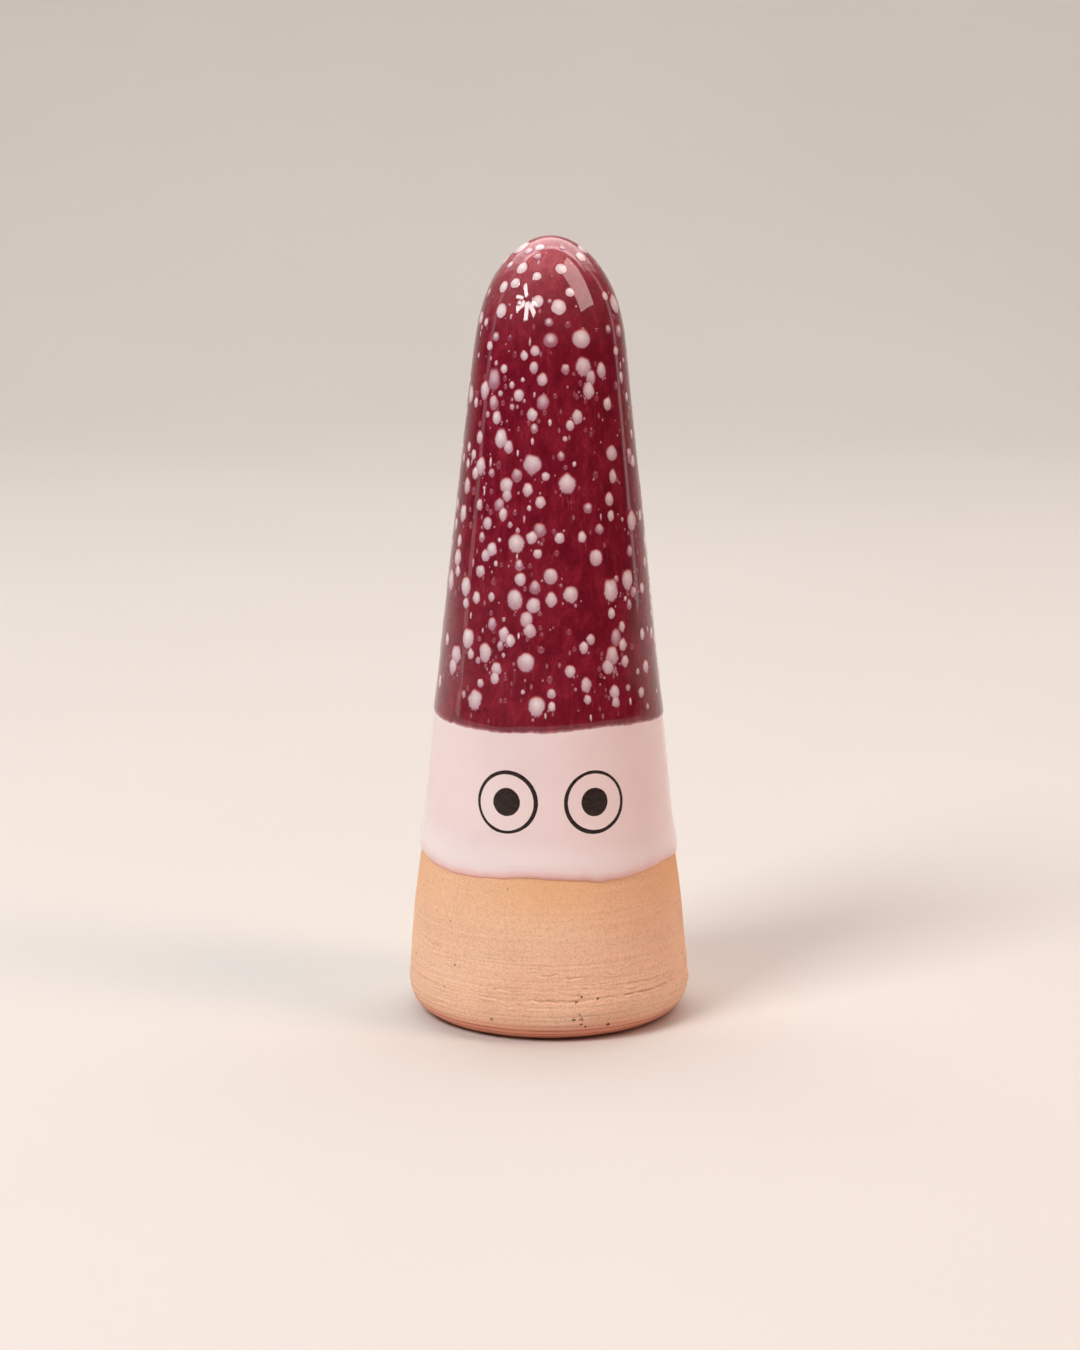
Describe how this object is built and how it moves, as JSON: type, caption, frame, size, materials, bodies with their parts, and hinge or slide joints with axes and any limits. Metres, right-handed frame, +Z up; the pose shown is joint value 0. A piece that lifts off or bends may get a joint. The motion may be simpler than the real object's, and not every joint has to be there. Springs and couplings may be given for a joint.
{
  "type": "ceramic gnome figurine",
  "caption": "Rounded cone-shaped ceramic gnome ornament with a bare clay foot, a white glazed face with drawn eyes and a dark red glazed hat with white drops.",
  "frame": {"origin": "centre of the flat resting face under the foot", "axes": "+Z up along the axis of the thrown body, -Y towards the face, +X to the viewer's right when the face is seen from the front"},
  "size_m": [0.05, 0.05, 0.1373],
  "materials": {
    "bare_clay": "matte",
    "white_glaze": "gloss",
    "red_glaze": "gloss",
    "spot_glaze": "gloss",
    "black_paint": "gloss"
  },
  "bodies": {
    "root": {"clay_body": "bare_clay", "white_glaze": "white_glaze", "hat_glaze": "red_glaze", "glaze_spots": "spot_glaze", "left_eye_ring": "black_paint", "left_pupil": "black_paint", "right_eye_ring": "black_paint", "right_pupil": "black_paint"}
  },
  "joints": []
}
